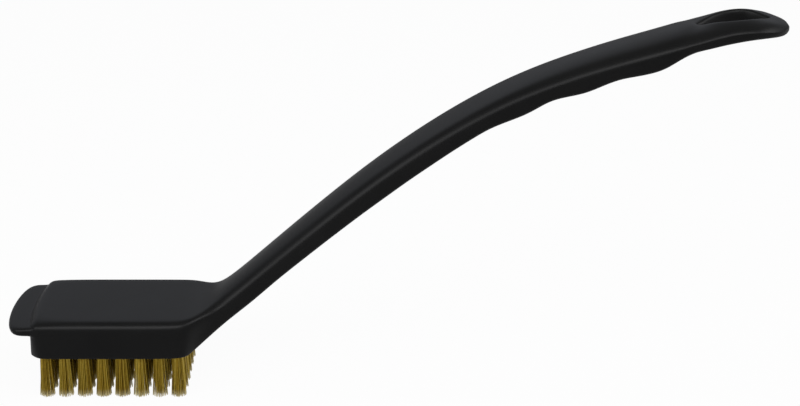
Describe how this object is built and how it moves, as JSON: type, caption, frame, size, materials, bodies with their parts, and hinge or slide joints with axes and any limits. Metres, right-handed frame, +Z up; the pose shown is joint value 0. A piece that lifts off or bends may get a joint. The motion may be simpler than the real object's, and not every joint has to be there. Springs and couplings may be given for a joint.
{
  "type": "grill brush",
  "caption": "Long-handled grill cleaning brush: curved plastic handle with finger grip and hanging eye, a scraper lip, and a block set with brass wire bristle tufts.",
  "frame": {"origin": "middle of the overall length and width, on the plane of the bristle tips", "axes": "+X runs from the scraper lip to the hanging eye, +Y across the brush, +Z up from the bristle tips to the back of the block"},
  "size_m": [0.2688, 0.0436, 0.1333],
  "materials": {
    "black_plastic": "moulded, fine matt texture with a soft sheen",
    "brass_wire": "drawn wire, dull, with bright cut tips"
  },
  "bodies": {
    "root": {"handle": "black_plastic", "tuft_r1_c1": "brass_wire", "tuft_r1_c2": "brass_wire", "tuft_r1_c3": "brass_wire", "tuft_r1_c4": "brass_wire", "tuft_r1_c5": "brass_wire", "tuft_r1_c6": "brass_wire", "tuft_r1_c7": "brass_wire", "tuft_r1_c8": "brass_wire", "tuft_r2_c1": "brass_wire", "tuft_r2_c2": "brass_wire", "tuft_r2_c3": "brass_wire", "tuft_r2_c4": "brass_wire", "tuft_r2_c5": "brass_wire", "tuft_r2_c6": "brass_wire", "tuft_r2_c7": "brass_wire", "tuft_r2_c8": "brass_wire", "tuft_r3_c1": "brass_wire", "tuft_r3_c2": "brass_wire", "tuft_r3_c3": "brass_wire", "tuft_r3_c4": "brass_wire", "tuft_r3_c5": "brass_wire", "tuft_r3_c6": "brass_wire", "tuft_r3_c7": "brass_wire", "tuft_r3_c8": "brass_wire", "tuft_r4_c1": "brass_wire", "tuft_r4_c2": "brass_wire", "tuft_r4_c3": "brass_wire", "tuft_r4_c4": "brass_wire", "tuft_r4_c5": "brass_wire", "tuft_r4_c6": "brass_wire", "tuft_r4_c7": "brass_wire", "tuft_r4_c8": "brass_wire", "tuft_r5_c1": "brass_wire", "tuft_r5_c2": "brass_wire", "tuft_r5_c3": "brass_wire", "tuft_r5_c4": "brass_wire", "tuft_r5_c5": "brass_wire", "tuft_r5_c6": "brass_wire", "tuft_r5_c7": "brass_wire", "tuft_r5_c8": "brass_wire", "tuft_r6_c1": "brass_wire", "tuft_r6_c2": "brass_wire", "tuft_r6_c3": "brass_wire", "tuft_r6_c4": "brass_wire", "tuft_r6_c5": "brass_wire", "tuft_r6_c6": "brass_wire", "tuft_r6_c7": "brass_wire", "tuft_r6_c8": "brass_wire"}
  },
  "joints": []
}
